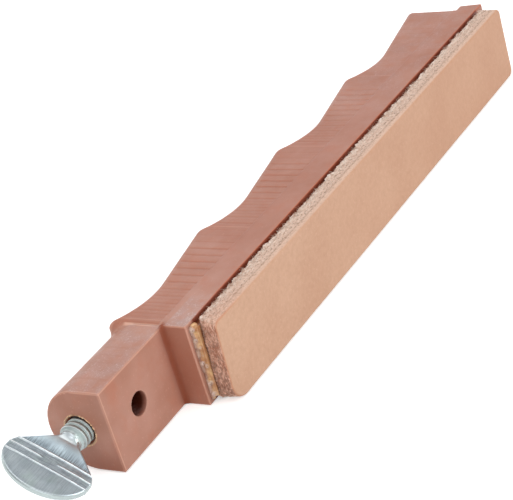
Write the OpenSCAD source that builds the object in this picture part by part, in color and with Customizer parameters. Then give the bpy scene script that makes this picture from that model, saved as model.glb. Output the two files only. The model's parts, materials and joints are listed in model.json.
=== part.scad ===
// Clamp-on leather strop for a guided sharpening rod.
// A moulded plastic holder carries a leather pad on glue. A thumb screw in the end of the
// holder's head clamps a guide rod that passes through the head.
// Frame: X runs along the strop from the thumb screw to the far end, the pad faces -Y,
// Z is up with the strop lying on its side, and the origin is where the axis of the
// rod bore (along Y) meets the axis of the thumb screw (along X).

/* [Leather pad] */
// Length of the leather pad
pad_length = 101.6; // [90:0.1:125]
// Thickness of the leather
pad_thickness = 3.3; // [2:0.1:5]
// How far the pad's near end is cut out of square, across its width
pad_skew = 1.5; // [0:0.1:1.8]
// Thickness of the glue layer under the leather
glue_thickness = 1.0; // [0.4:0.1:1.5]
// How far the glue stops short of the pad's sides and far end
glue_inset = 0.4; // [0.2:0.1:1]
// How far the glue that is squeezed out at the near end stops short of the flange's end
glue_margin = 0.6; // [0.3:0.1:2]

/* [Holder] */
// Width of the flange, the grip and the pad
body_width = 13.2; // [12:0.1:16]
// Width of the head that holds the guide rod
head_width = 12.9; // [11.8:0.1:15]
// Depth of the head, from its pad side to its round back
head_depth = 10.7; // [10:0.1:12.5]
// Length of the head
head_length = 16.2; // [14:0.1:22]
// How far the flange stands in front of the head's pad side
flange_step = 4.05; // [3:0.05:5]
// How far the flange runs past the pad at each end
flange_margin = 2.3; // [1.5:0.1:4]

/* [Finger grooves] */
// Distance from one groove to the next
groove_pitch = 25.4; // [22:0.1:26]
// Number of finger grooves
groove_count = 4; // [2:1:4]
// Radius of the hollow of a groove
groove_radius = 13; // [11:0.5:15]
// Distance from a crest to the lowest point of the groove after it
groove_low_point = 8.2; // [7.5:0.1:8.5]
// Angle of the long ramp up to the next crest
ramp_angle = 10.2; // [9:0.1:11]
// Depth of the grip at a crest, from the back of the flange
crest_depth = 9.8; // [9.5:0.1:10.2]

/* [Side ribs] */
// Distance from one rib groove to the next
rib_pitch = 1.85; // [1.5:0.05:2.5]
// Depth of the rib grooves
rib_depth = 0.15; // [0.1:0.05:0.3]

/* [Guide rod bore] */
// Diameter of the bore for the guide rod
rod_bore_d = 3.5; // [3.3:0.05:4]
// Distance from the end of the head to the axis of the rod bore
rod_from_end = 7; // [6.5:0.1:7.5]

/* [Thumb screw] */
// Outside diameter of the screw thread
thread_d = 4.166; // [4:0.001:4.2]
// Distance from one thread turn to the next
thread_pitch = 0.79375; // [0.7:0.00625:0.8]
// Radial running clearance of the thread in its hole
thread_clearance = 0.06; // [0.02:0.01:0.1]
// Width of the spade-shaped head
spade_width = 13; // [10:0.5:14]
// Thickness of the spade-shaped head
spade_thickness = 1.25; // [1:0.05:1.6]
// Turn of the spade about the screw axis, away from flat
spade_turn = 28; // [0:1:40]

/* [Hidden] */
eps = 0.01;
over = 1;
pad_side_y = -head_depth / 2;
back_y = head_depth / 2;
flange_y = pad_side_y - flange_step;
leather_y = flange_y - glue_thickness;
end_x = -rod_from_end;
grip_x = end_x + head_length;
pad_x = grip_x + flange_margin;
flange_length = pad_length + 2 * flange_margin;
grip_length = flange_length - flange_margin;
rib_free_depth = 0.65;
pin_mismatch = 0.02;

first_crest_x = grip_x + 0.45;
valley_depth = crest_depth - groove_radius * (1 - cos(ramp_angle))
    - (groove_pitch - groove_low_point - groove_radius * sin(ramp_angle)) * tan(ramp_angle);
last_rise = grip_x + grip_length - first_crest_x - groove_count * groove_pitch;
end_depth = crest_depth + max(last_rise, 0) * tan(ramp_angle);
grip_corner_r = 1.4;

thread_r = thread_d / 2;
root_r = thread_r - 0.5413 * thread_pitch;
crest_flat = thread_pitch / 8;
tip_x = -2;
tip_length = 1.2;
tip_r = 1.5;
tip_chamfer = 0.3;
thread_end_x = tip_x - tip_length;
thread_out = 2.25;
thread_start_x = end_x - thread_out;
thread_turns = floor((thread_end_x - thread_start_x) / thread_pitch);
screw_bore_r = thread_r + thread_clearance;
mouth_r = 2.45;
mouth_depth = 0.4;

neck_r = 1.75;
neck_end_r = 0.9;
spade_near = 3.35;
spade_far = 12.6;
spade_neck_half = 2.05;
spade_axial_r = 4.6;
spade_ridges = [6.2, 7.35, 8.6];
ridge_width = 0.5;
ridge_height = 0.25;
$fn = 64;

// Lays a shape drawn as (depth, height) across the strop and runs it along X.
module along_x(x, length) {
    translate([x, 0, 0]) rotate([90, 0, 90]) linear_extrude(length) children();
}

// D-shaped section of the head: flat on the pad side, half round at the back.
module head_section() {
    r = head_width / 2;
    translate([pad_side_y, -r]) square([head_depth - r, head_width]);
    intersection() {
        translate([back_y - r, 0]) circle(r);
        translate([back_y - r - eps, -r]) square([r + eps, head_width]);
    }
}

// Section that the grip is trimmed to, which rounds the corners of its crests.
module grip_section() {
    r = grip_corner_r;
    half = body_width / 2;
    deep_y = pad_side_y + end_depth;
    translate([pad_side_y - eps, -half]) square([end_depth + eps - r, body_width]);
    translate([pad_side_y, r - half]) square([end_depth, body_width - 2 * r]);
    for (side = [-1, 1]) translate([deep_y - r, side * (half - r)]) circle(r);
}

// One finger groove behind the crest at x: a round hollow, then the ramp to the next crest.
module finger_groove(x, ramp_end_x) {
    low_x = x + groove_low_point;
    tangent_x = low_x + groove_radius * sin(ramp_angle);
    tangent_y = valley_depth + groove_radius * (1 - cos(ramp_angle));
    ramp_end_y = tangent_y + (ramp_end_x - tangent_x) * tan(ramp_angle);
    top_y = head_depth + over;
    translate([low_x, valley_depth + groove_radius]) circle(groove_radius, $fn = 128);
    polygon([[tangent_x, tangent_y], [ramp_end_x, ramp_end_y], [ramp_end_x, top_y], [low_x, top_y]]);
}

// Outline of the grip from the side, with its finger grooves.
module grip_outline() {
    difference() {
        translate([grip_x, -eps]) square([grip_length, end_depth + eps]);
        for (i = [0 : groove_count - 1]) {
            x = first_crest_x + i * groove_pitch;
            last = i == groove_count - 1;
            finger_groove(x, last ? grip_x + grip_length + over : x + groove_pitch);
        }
    }
}

// Rib grooves across one side of the grip, as one comb of V cuts.
module rib_comb() {
    half = 0.22;
    count = floor((grip_length - 2 * rib_pitch) / rib_pitch);
    for (i = [1 : count])
        translate([grip_x + i * rib_pitch, 0])
            polygon([[-half, eps], [half, eps], [0, -rib_depth]]);
}

module grip() {
    intersection() {
        translate([0, pad_side_y, -body_width / 2]) linear_extrude(body_width) grip_outline();
        along_x(grip_x - over, grip_length + 2 * over) grip_section();
    }
}

module ribs(side) {
    rib_run = head_depth;
    translate([0, pad_side_y + rib_free_depth, side * body_width / 2])
        mirror([0, 0, side < 0 ? 1 : 0]) rotate([-90, 0, 0]) mirror([0, 1, 0])
            linear_extrude(rib_run) rib_comb();
}

module screw_hole() {
    translate([end_x - over, 0, 0]) rotate([0, 90, 0]) cylinder(r = screw_bore_r, h = rod_from_end + over);
    translate([end_x - eps, 0, 0]) rotate([0, 90, 0]) cylinder(r1 = mouth_r, r2 = screw_bore_r, h = mouth_depth);
}

// The rod bore, in two halves that meet at the screw's axis, as two moulding pins leave it.
module rod_bore() {
    rotate([90, 0, 0]) cylinder(d = rod_bore_d, h = head_depth / 2 + over);
    rotate([-90, 0, 0]) cylinder(d = rod_bore_d + pin_mismatch, h = head_depth / 2 + over);
}

module holder() {
    color("rosybrown")
    difference() {
        union() {
            along_x(end_x, head_length) head_section();
            translate([grip_x, flange_y, -body_width / 2]) cube([flange_length, flange_step, body_width]);
            grip();
        }
        screw_hole();
        rod_bore();
        for (side = [-1, 1]) ribs(side);
    }
}

module adhesive_layer() {
    glue_x = grip_x + glue_margin;
    glue_length = pad_x + pad_length - glue_inset - glue_x;
    color("darkgoldenrod")
    translate([glue_x, leather_y, glue_inset - body_width / 2])
        cube([glue_length, glue_thickness, body_width - 2 * glue_inset]);
}

module leather_pad() {
    half = body_width / 2;
    far_x = pad_x + pad_length;
    color("burlywood")
    translate([0, leather_y, 0]) rotate([90, 0, 0]) linear_extrude(pad_thickness)
        polygon([[pad_x, half], [pad_x - pad_skew, -half], [far_x, -half], [far_x, half]]);
}

// Outline of the spade: sides that flare from the neck, then a half ellipse.
// It is drawn with distance from the head's end along X and half width along Y.
module spade_outline() {
    half = spade_width / 2;
    centre = spade_far - spade_axial_r;
    shoulder = -35;
    arc = [for (a = [shoulder : 5 : 180 - shoulder])
        [centre + spade_axial_r * sin(a), half * cos(a)]];
    polygon(concat([[spade_near, -spade_neck_half], [spade_near, spade_neck_half]], arc));
}

module spade() {
    half = spade_thickness / 2;
    translate([0, 0, -half]) linear_extrude(spade_thickness) spade_outline();
    intersection() {
        translate([0, 0, -half - ridge_height]) linear_extrude(spade_thickness + 2 * ridge_height) spade_outline();
        for (a = spade_ridges)
            translate([a - ridge_width / 2, -spade_width / 2, -half - ridge_height])
                cube([ridge_width, spade_width, spade_thickness + 2 * ridge_height]);
    }
}

// The thread as a row of rings with the thread's own profile.
module thread_rings() {
    top = thread_end_x - thread_start_x;
    ring = [for (i = [0 : thread_turns - 1]) each [
        [root_r, i * thread_pitch],
        [thread_r, (i + 0.5) * thread_pitch - crest_flat / 2],
        [thread_r, (i + 0.5) * thread_pitch + crest_flat / 2]]];
    translate([thread_start_x, 0, 0]) rotate([0, 90, 0]) rotate_extrude()
        polygon(concat([[0, 0]], ring, [[root_r, thread_turns * thread_pitch], [root_r, top], [0, top]]));
}

module thumb_screw() {
    color("lightsteelblue") {
        thread_rings();
        translate([thread_start_x + eps, 0, 0]) rotate([0, -90, 0])
            cylinder(r1 = neck_r, r2 = neck_end_r, h = 3.2);
        rotate([spade_turn, 0, 0]) translate([end_x, 0, 0]) mirror([1, 0, 0]) spade();
    }
}

// Plain point of the screw, which presses on the guide rod.
module thumb_screw_tip() {
    color("slategray")
    translate([thread_end_x, 0, 0]) rotate([0, 90, 0]) rotate_extrude()
        polygon([[0, 0], [tip_r, 0], [tip_r, tip_length - tip_chamfer],
            [tip_r - tip_chamfer, tip_length], [0, tip_length]]);
}

holder();
adhesive_layer();
leather_pad();
thumb_screw();
thumb_screw_tip();
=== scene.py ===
"""Looks of a clamp-on leather strop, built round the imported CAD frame.

Lengths in this script are millimetres until a mesh is made, in the frame's own axes:
+X runs from the thumb screw to the far end, the leather faces -Y and +Z is up.
"""
import itertools
import json
import math

import bpy
import numpy as np
from mathutils import Matrix, Vector


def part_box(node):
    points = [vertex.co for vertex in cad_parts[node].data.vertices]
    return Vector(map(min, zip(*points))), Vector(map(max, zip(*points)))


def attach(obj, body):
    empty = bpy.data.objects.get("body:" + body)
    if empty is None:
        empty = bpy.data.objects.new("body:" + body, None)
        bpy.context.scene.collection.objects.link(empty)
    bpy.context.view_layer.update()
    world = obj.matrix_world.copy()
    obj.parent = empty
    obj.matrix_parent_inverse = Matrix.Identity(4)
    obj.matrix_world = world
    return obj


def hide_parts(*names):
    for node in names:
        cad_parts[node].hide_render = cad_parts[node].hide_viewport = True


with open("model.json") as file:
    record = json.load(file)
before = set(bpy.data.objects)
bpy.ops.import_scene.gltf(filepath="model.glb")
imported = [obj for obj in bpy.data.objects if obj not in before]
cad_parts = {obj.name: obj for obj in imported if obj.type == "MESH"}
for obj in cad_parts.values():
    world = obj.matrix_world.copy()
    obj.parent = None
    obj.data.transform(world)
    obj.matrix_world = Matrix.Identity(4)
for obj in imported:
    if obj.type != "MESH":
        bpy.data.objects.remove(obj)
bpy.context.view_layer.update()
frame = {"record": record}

MM = 0.001


def box_mm(node):
    """Lowest and highest corner of a CAD node, in millimetres."""
    low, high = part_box(node)
    return np.array(low) / MM, np.array(high) / MM


HOLDER_LOW, HOLDER_HIGH = box_mm("holder")
GLUE_LOW, GLUE_HIGH = box_mm("adhesive_layer")
PAD_LOW, PAD_HIGH = box_mm("leather_pad")
SCREW_LOW, SCREW_HIGH = box_mm("thumb_screw")
TIP_LOW, TIP_HIGH = box_mm("thumb_screw_tip")
MOUNTS = {m["name"]: m for m in frame["record"]["mounts"]}
COUPLING = frame["record"]["behaviour"]["couplings"][0]

# -------- sizes

# The holder's ends, its half width and the face that carries the leather are the CAD box's.
END_X = HOLDER_LOW[0]
FAR_X = HOLDER_HIGH[0]
HALF = HOLDER_HIGH[2]
FLANGE_Y = HOLDER_LOW[1]
HEAD_LENGTH = 16.2
GRIP_X = END_X + HEAD_LENGTH
GRIP_END = PAD_HIGH[0] + 0.15
FLANGE_SKEW = 0.13

# The head is half round behind and flat towards the leather.
HEAD_DEPTH = 10.7
HEAD_HALF = 6.45
PAD_SIDE_Y = -HEAD_DEPTH / 2
BACK_CENTRE_Y = HEAD_DEPTH / 2 - HEAD_HALF

# Each finger groove is an arc, then a straight ramp up to the next crest.
GROOVE_PITCH = 25.4
GROOVE_COUNT = 4
GROOVE_R = 13.0
GROOVE_LOW = 8.2
RAMP = math.radians(10.2)
CREST_DEPTH = 9.8
FIRST_CREST = GRIP_X + 0.45

ROD_R = MOUNTS["guide_rod_bore"]["dims"]["r_mm"]
PITCH = 2 * math.pi / COUPLING["ratio"] / MM
THREAD_R = 2.083
ROOT_R = THREAD_R - 0.17
SCREW_HOLE_R = THREAD_R + 0.06
MOUTH_R = 2.45
MOUTH_DEPTH = 0.4
LIP_OUT = 0.06
LIP_R = 0.09

RIB_PITCH = 1.85
RIB_START = 0.65
RIB_RECESS = 0.05
CREASE_DEPTH = 0.09
CREASE_WIDTH = 0.18
SWELL_HEIGHT = 0.045

EDGE_R = 0.2
HEAD_FILLET = 0.6
GRIP_SIDE_R = 1.4
GRIP_FRONT_R = 1.1
GRIP_END_R = 0.4
HOLE_EDGE_R = 0.12


# -------- distance fields

def slab(v, low, high):
    """Distance to the space between two planes."""
    return np.abs(v - (low + high) / 2) - (high - low) / 2


def join(a, b, r):
    """Both shapes, with a fillet of radius r in the corner between them."""
    u, v = np.maximum(r - a, 0), np.maximum(r - b, 0)
    return np.maximum(r, np.minimum(a, b)) - np.sqrt(u * u + v * v)


def meet(a, b, r):
    """What two shapes share, with its edge rounded to radius r."""
    u, v = np.maximum(r + a, 0), np.maximum(r + b, 0)
    return np.minimum(-r, np.maximum(a, b)) + np.sqrt(u * u + v * v)


def ease(v, low, high):
    """0 below low, 1 above high, smooth between."""
    t = np.clip((v - low) / (high - low), 0, 1)
    return t * t * (3 - 2 * t)


def bell(v, width):
    """1 at zero, falling away on both sides."""
    return np.exp(-(v / width) ** 2)


def gradient(distance, points, reach):
    """Slope of a distance field, measured over `reach` to each side."""
    slope = np.empty_like(points)
    for axis in range(3):
        shift = np.zeros(3)
        shift[axis] = reach
        slope[:, axis] = (distance(points + shift) - distance(points - shift)) / (2 * reach)
    return slope


def unit(vectors):
    """The vectors, each scaled to length 1."""
    return vectors / np.maximum(np.linalg.norm(vectors, axis=1, keepdims=True), 1e-9)


def surface_net(distance, low, high, step):
    """Points and quads on the zero surface of a distance field, one point in each cell it crosses."""
    step = np.array(step, float)
    axes = [np.arange(a - 1.6 * s, b + 2.6 * s, s) for a, b, s in zip(low, high, step)]
    grid = np.stack(np.meshgrid(*axes, indexing="ij"), -1)
    field = distance(grid.reshape(-1, 3)).reshape(grid.shape[:3])
    inside = field < 0
    cells = np.array(field.shape) - 1
    corners = list(itertools.product((0, 1), repeat=3))

    def corner_view(values, c):
        return values[c[0]:cells[0] + c[0], c[1]:cells[1] + c[1], c[2]:cells[2] + c[2]]

    count = sum(corner_view(inside, c).astype(np.int8) for c in corners)
    active = np.argwhere((count > 0) & (count < 8))
    number = np.full(cells, -1, np.int64)
    number[tuple(active.T)] = np.arange(len(active))
    values = [field[tuple((active + c).T)] for c in corners]
    total = np.zeros((len(active), 3))
    hits = np.zeros(len(active))
    for i, j in itertools.combinations(range(8), 2):
        # Only pairs of corners along an edge of the cell.
        if sum(abs(a - b) for a, b in zip(corners[i], corners[j])) != 1:
            continue
        a, b = values[i], values[j]
        crossed = (a < 0) != (b < 0)
        share = np.where(crossed, a / np.where(crossed, a - b, 1), 0)
        spot = np.array(corners[i]) + share[:, None] * (np.array(corners[j]) - np.array(corners[i]))
        total += np.where(crossed[:, None], spot, 0)
        hits += crossed
    origin = np.array([a[0] for a in axes])
    points = origin + (active + total / hits[:, None]) * step

    quads = []
    for axis in range(3):
        u, v = np.eye(3, dtype=int)[(axis + 1) % 3], np.eye(3, dtype=int)[(axis + 2) % 3]
        low_side = np.take(inside, range(field.shape[axis] - 1), axis)
        high_side = np.take(inside, range(1, field.shape[axis]), axis)
        for solid_low in (True, False):
            spots = np.argwhere((low_side == solid_low) & (high_side != solid_low))
            ring = [spots - u - v, spots - v, spots, spots - u]
            quad = np.stack([number[tuple(c.T)] for c in ring], 1)
            quads.append(quad if solid_low else quad[:, ::-1])
    return points, np.concatenate(quads)


def settle(distance, points, most, rounds=4):
    """Moves points onto the zero surface, by at most `most` each round."""
    for _ in range(rounds):
        slope = gradient(distance, points, 0.01)
        length = np.maximum((slope * slope).sum(1), 0.05)
        move = -(distance(points) / length)[:, None] * slope
        size = np.linalg.norm(move, axis=1, keepdims=True)
        points = points + move * np.minimum(1, most / np.maximum(size, 1e-9))
    return points


def noise(points, cell, seed):
    """Smooth random numbers from -1 to 1. Features are about `cell` wide, which may differ by axis."""
    q = points / np.broadcast_to(np.array(cell, float), (3,))
    base = np.floor(q).astype(np.int64)
    f = q - base
    f = f * f * (3 - 2 * f)
    total = np.zeros(len(points))
    for c in itertools.product((0, 1), repeat=3):
        n = base + np.array(c)
        h = n[:, 0] * 73856093 ^ n[:, 1] * 19349663 ^ n[:, 2] * 83492791 ^ seed * 2654435761
        h = (h ^ (h >> 13)) * 1274126177 & 0xFFFFFFFF
        h = (h ^ (h >> 16)) * 2246822519 & 0xFFFFFFFF
        value = ((h ^ (h >> 15)) & 0xFFFF) / 32767.5 - 1
        weight = np.prod(np.where(np.array(c) == 1, f, 1 - f), axis=1)
        total += weight * value
    return total


# -------- meshes

def make_object(name, points_mm, faces, marks=None, normals=None):
    """A smooth-shaded object from points in millimetres, with marks: named numbers at each point."""
    mesh = bpy.data.meshes.new(name)
    faces = np.asarray(faces)
    mesh.vertices.add(len(points_mm))
    mesh.vertices.foreach_set("co", (points_mm * MM).astype(np.float32).ravel())
    mesh.loops.add(faces.size)
    mesh.loops.foreach_set("vertex_index", faces.astype(np.int32).ravel())
    mesh.polygons.add(len(faces))
    sides = faces.shape[1]
    mesh.polygons.foreach_set("loop_start", np.arange(0, faces.size, sides, dtype=np.int32))
    mesh.update(calc_edges=True)
    mesh.validate()
    mesh.shade_smooth()
    for key, numbers in (marks or {}).items():
        layer = mesh.attributes.new(key, "FLOAT", "POINT")
        layer.data.foreach_set("value", np.asarray(numbers, np.float32))
    if normals is not None:
        mesh.normals_split_custom_set_from_vertices(normals.astype(np.float32))
    thing = bpy.data.objects.new(name, mesh)
    bpy.context.scene.collection.objects.link(thing)
    return thing


def edge_and_hollow(distance, points, normals, reach):
    """How far each point is on a sharp edge, and in a hollow corner, from 0 to 1."""
    edge = np.clip((1 + distance(points - normals * reach) / reach) / 0.3, 0, 1)
    hollow = np.clip((1 - distance(points + normals * 2 * reach) / (2 * reach)) / 0.6, 0, 1)
    return edge * (1 - hollow), hollow


def turn_about_x(points, angle):
    c, s = math.cos(angle), math.sin(angle)
    x, y, z = points.T
    return np.stack([x, c * y - s * z, s * y + c * z], 1)


def fibre_tubes(roots, paths, radius):
    """Thin tapering three-sided tubes. paths is (fibres, steps, 3), as offsets from the roots."""
    count, steps, _ = paths.shape
    spine = roots[:, None, :] + paths
    along = np.gradient(spine, axis=1)
    along /= np.maximum(np.linalg.norm(along, axis=2, keepdims=True), 1e-9)
    side = np.cross(along, np.array([0.31, 0.87, 0.38]))
    side /= np.maximum(np.linalg.norm(side, axis=2, keepdims=True), 1e-9)
    other = np.cross(along, side)
    thin = radius[:, None, None] * np.linspace(1, 0.25, steps)[None, :, None]
    rings = [spine + thin * (math.cos(a) * side + math.sin(a) * other)
             for a in (0, 2 * math.pi / 3, 4 * math.pi / 3)]
    points = np.stack(rings, 2).reshape(-1, 3)
    start = (np.arange(count) * steps * 3)[:, None, None]
    ring = (np.arange(steps - 1) * 3)[None, :, None]
    k = np.arange(3)[None, None, :]
    a, b = start + ring + k, start + ring + (k + 1) % 3
    quads = np.stack([a, b, b + 3, a + 3], -1).reshape(-1, 4)
    first = (np.arange(count) * steps * 3)[:, None]
    last = first + (steps - 1) * 3
    caps = np.concatenate([first + [2, 1, 0], last + [0, 1, 2]])
    return points, quads, caps


# -------- holder

def smooth_line(values, spread, step):
    """Gaussian blur of evenly spaced values."""
    reach = int(4 * spread / step)
    kernel = np.exp(-0.5 * (np.arange(-reach, reach + 1) * step / spread) ** 2)
    padded = np.pad(values, reach, mode="edge")
    return np.convolve(padded, kernel / kernel.sum(), "valid")


def grip_profile():
    """Depth of the finger-grooved back along X, with its crests rounded over."""
    step = 0.02
    xs = np.arange(GRIP_X - 4, FAR_X + 4, step)
    valley = (CREST_DEPTH - GROOVE_R * (1 - math.cos(RAMP))
              - (GROOVE_PITCH - GROOVE_LOW - GROOVE_R * math.sin(RAMP)) * math.tan(RAMP))
    lowest = np.full(len(xs), CREST_DEPTH + 1.5)
    for i in range(GROOVE_COUNT):
        low_x = FIRST_CREST + i * GROOVE_PITCH + GROOVE_LOW
        off = xs - low_x
        hollow = valley + GROOVE_R - np.sqrt(np.maximum(GROOVE_R ** 2 - off ** 2, 0))
        tangent = GROOVE_R * math.sin(RAMP)
        ramp = valley + GROOVE_R * (1 - math.cos(RAMP)) + (off - tangent) * math.tan(RAMP)
        groove = np.where(off < tangent, np.where(off < -GROOVE_R, 99, hollow), ramp)
        lowest = np.minimum(lowest, groove)
    depth = smooth_line(lowest, 0.5, step) + 0.08
    return xs, PAD_SIDE_Y + depth, np.gradient(depth, step)


PROFILE_X, PROFILE_Y, PROFILE_SLOPE = grip_profile()


def along_groove(x):
    """Distance from the crest before, from 0 to the groove pitch."""
    return (x - FIRST_CREST) % GROOVE_PITCH


def rib_strength(x, y):
    """How strong the ribs on the grip's sides are. They fade towards crests and the far end."""
    along = along_groove(x)
    ramp = 0.6 + 0.4 * ease(along, 7, 13)
    groove = np.clip((x - FIRST_CREST) / GROOVE_PITCH, 0, GROOVE_COUNT)
    strength = np.interp(groove, [0, 1, 2.95, 3.1, 4], [1, 0.95, 0.85, 0.35, 0.3])
    zone = ease(along, 0.8, 2.0) * (1 - 0.8 * ease(along, 19.5, 23.0))
    crown = np.interp(x, PROFILE_X, PROFILE_Y) - y
    fade = ease(crown, 0.9, 1.6) * ease(y - PAD_SIDE_Y, RIB_START - 0.2, RIB_START + 0.2)
    uneven = 0.8 + 0.2 * np.sin(1.7 * x) * np.sin(0.61 * x + 1)
    return zone * strength * ramp * fade * uneven


def rib_creases(x):
    """1 along a crease between two ribs, 0 away from it, and the way to the nearest main crease."""
    off = (x - GRIP_X) / RIB_PITCH
    off = (off - np.round(off)) * RIB_PITCH
    # Fainter creases lie between the main ones at the start of each finger groove.
    between = 0.75 * bell(RIB_PITCH / 2 - np.abs(off), 0.16) * ease(-along_groove(x), -12, -7)
    return np.maximum(bell(off, CREASE_WIDTH), between), off


def rib_relief(x, y):
    """Depth of the shallow ribs on the sides of the grip."""
    crease, off = rib_creases(x)
    swell = SWELL_HEIGHT * (1 - 2 * np.abs(off) / RIB_PITCH) ** 2
    return (CREASE_DEPTH * crease + swell) * rib_strength(x, y)


def head_shape(x, y, z):
    """The D-shaped head."""
    head = np.hypot(np.maximum(y - BACK_CENTRE_Y, 0), z) - HEAD_HALF
    head = meet(head, PAD_SIDE_Y - y, EDGE_R)
    head = meet(head, END_X - x, EDGE_R)
    return np.maximum(head, x - GRIP_X - 0.1)


def flange_shape(x, y, z):
    """The strip that carries the leather. Its far end is cut a little out of square."""
    flange = meet(slab(y, FLANGE_Y, PAD_SIDE_Y), np.abs(z) - HALF, EDGE_R)
    far_end = x - FAR_X + FLANGE_SKEW * (y - FLANGE_Y)
    return meet(flange, np.maximum(GRIP_X - x, far_end), EDGE_R)


def grip_shape(x, y, z):
    """The finger-grooved grip, with ribs on its sides."""
    slope = np.interp(x, PROFILE_X, PROFILE_SLOPE)
    back = (y - np.interp(x, PROFILE_X, PROFILE_Y)) / np.sqrt(1 + slope ** 2)
    recess = RIB_RECESS * ease(y - PAD_SIDE_Y, RIB_START - 0.15, RIB_START + 0.1)
    side = np.abs(z) - HALF + recess + rib_relief(x, y)
    grip = meet(back, side, GRIP_SIDE_R)
    grip = np.maximum(grip, FLANGE_Y + 1 - y)
    front = meet(grip, GRIP_X - x, GRIP_FRONT_R)
    return np.where(x < GRIP_X + 3, front, meet(grip, x - GRIP_END, GRIP_END_R))


def screw_hole_shape(x, radial):
    """The screw's hole, as far as the rod hole's axis, with a flared mouth."""
    flare = np.maximum(x - END_X, 0) * (MOUTH_R - SCREW_HOLE_R) / MOUTH_DEPTH
    mouth = (radial - MOUTH_R + flare) * 0.7
    return np.minimum(np.maximum(radial - SCREW_HOLE_R, x), np.maximum(mouth, x - END_X - MOUTH_DEPTH))


def holder_distance(p):
    x, y, z = p.T
    body = np.minimum(flange_shape(x, y, z), grip_shape(x, y, z))
    body = join(head_shape(x, y, z), body, HEAD_FILLET)
    radial = np.hypot(y, z)
    lip = np.hypot(radial - MOUTH_R - LIP_OUT, x - END_X) - LIP_R
    body = join(body, lip, 0.04)
    body = meet(body, -screw_hole_shape(x, radial), 0.05)
    rod_hole = np.hypot(x, z) - ROD_R
    return meet(body, -rod_hole, HOLE_EDGE_R)


def holder_marks(points, edge, hollow):
    """Numbers from 0 to 1 that the plastic's material reads."""
    x, y, z = points.T
    radial, around_rod = np.hypot(y, z), np.hypot(x, z)
    from_face = y - PAD_SIDE_Y
    to_corner = np.hypot(x - GRIP_X, from_face)
    near_corner = bell(to_corner, 0.95)
    near_rod_hole = ease(-around_rod, -ROD_R - 0.5, -ROD_R - 0.2) * (y < 0)
    flange_end = (x < GRIP_X + 0.12) * (y < PAD_SIDE_Y)

    # Painted shade: the inner corner, the flange's end, the end face's low part, and inside both
    # holes.
    mouth = ease(-radial, -MOUTH_R, -MOUTH_R + 0.15) * (x < 0)
    bore = ease(-around_rod, -ROD_R - 0.1, -ROD_R - 0.01) * ease(from_face, 0.3, 1.1)
    corner = np.maximum.reduce([
        (0.72 * near_corner + 0.3 * bell(to_corner, 0.5)) * (y < PAD_SIDE_Y + 0.3),
        flange_end * 0.36 * bell(to_corner, 2.5),
        0.62 * ease(-z, 0, HALF) * (x < END_X + 0.15),
        mouth,
        0.75 * near_rod_hole * ease(from_face, 0.05, 0.3),
    ])

    # The ribbed sides and the flange are redder than the head, with painted shade added in the rib
    # creases and on the flange's end face.
    along = along_groove(x)
    crest = np.maximum(ease(-along, -3.5, -0.5), ease(along, 20.5, 23.5))
    on_grip = ease(from_face, RIB_START - 0.15, RIB_START + 0.2) * ease(x, GRIP_X, GRIP_X + 0.4)
    on_flange = (y < PAD_SIDE_Y + RIB_START + 0.06) * ease(x, GRIP_X + 4, GRIP_X + 20)
    ribbed = on_grip * (0.62 + 0.25 * crest) + 0.7 * rib_creases(x)[0] * rib_strength(x, y)
    ribbed = np.maximum.reduce([ribbed, 0.7 * on_flange, 0.9 * flange_end])

    # Painted highlights along the edges, with a painted light line along each crest. They are warmer
    # along the flange.
    on_crest = bell(along - 0.9, 0.16) * on_grip * (np.abs(z) > HALF - 0.5)
    edge = edge * (1 - near_corner) * (1 - 0.75 * near_rod_hole)
    edge = np.maximum(edge, 0.45 * on_crest)
    warm = (y < FLANGE_Y + 0.4) * ease(x, GRIP_X + 1, GRIP_X + 4)

    # Painted shade on the face that carries the strip, in the slot beside the glue.
    slot_shade = ease(FLANGE_Y + 0.16 - y, 0, 0.1) * ease(x, GLUE_LOW[0] + 0.8, GLUE_LOW[0] + 1.6)
    slot_shade = slot_shade * ease(GLUE_HIGH[0] + 0.3 - x, 0, 0.6)

    # Where the painted sheen falls: on the head, the strip's start and, faintly, the far part.
    on_strip = bell(x - GRIP_X - 3, 5) * (y < PAD_SIDE_Y - 0.4)
    sheen_and_specks = np.where(x < GRIP_X, 0.46, 0.24 * ease(x, 60, 90)) + 0.9 * on_strip
    # A painted highlight on the lip of the screw hole.
    ring = bell(radial - MOUTH_R - 0.07, 0.09) * (x < END_X + 0.1)
    return {"edge": edge, "warm": warm, "hollow": hollow * (1 - near_corner), "corner": corner,
            "dark": np.maximum(bore, 0.2 * mouth), "ring": ring, "sheen_and_specks": sheen_and_specks, "slot_shade": slot_shade,
            "ribbed": ribbed}


def build_holder():
    step = (0.17, 0.2, 0.2)
    points, quads = surface_net(holder_distance, HOLDER_LOW - 0.3, HOLDER_HIGH + 0.3, step)
    points = settle(holder_distance, points, 0.08)
    normals = unit(gradient(holder_distance, points, 0.04))
    edge, hollow = edge_and_hollow(holder_distance, points, normals, 0.26)
    marks = holder_marks(points, edge, hollow)
    # Moulded faces are never quite flat.
    sink = 0.02 * noise(points, 7, 3) + 0.006 * noise(points, 1.6, 4)
    points = points + normals * sink[:, None]
    return make_object("holder_moulding", points, quads, marks, normals)


# -------- leather

CORNER_R = {"near_low": 1.0, "near_high": 0.9, "far_low": 1.3, "far_high": 1.2}
PAD_THICK = PAD_HIGH[1] - PAD_LOW[1]
FAR_PROUD = 0.25
NEAR_LOW_TRIM = 2.2
END_SKEW = 0.055
END_SLANT = 0.32
FLOOR_ROOM = 0.13
GRAIN_EDGE_R = 0.35
FLESH_EDGE_R = 0.12
MOST_FUZZ = 0.3


def near_end_x(y, z):
    """Where the near end is cut: out of square, and slanted so that the grain side reaches further."""
    return PAD_LOW[0] - 0.05 + END_SKEW * z + END_SLANT * (y - PAD_LOW[1])


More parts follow.
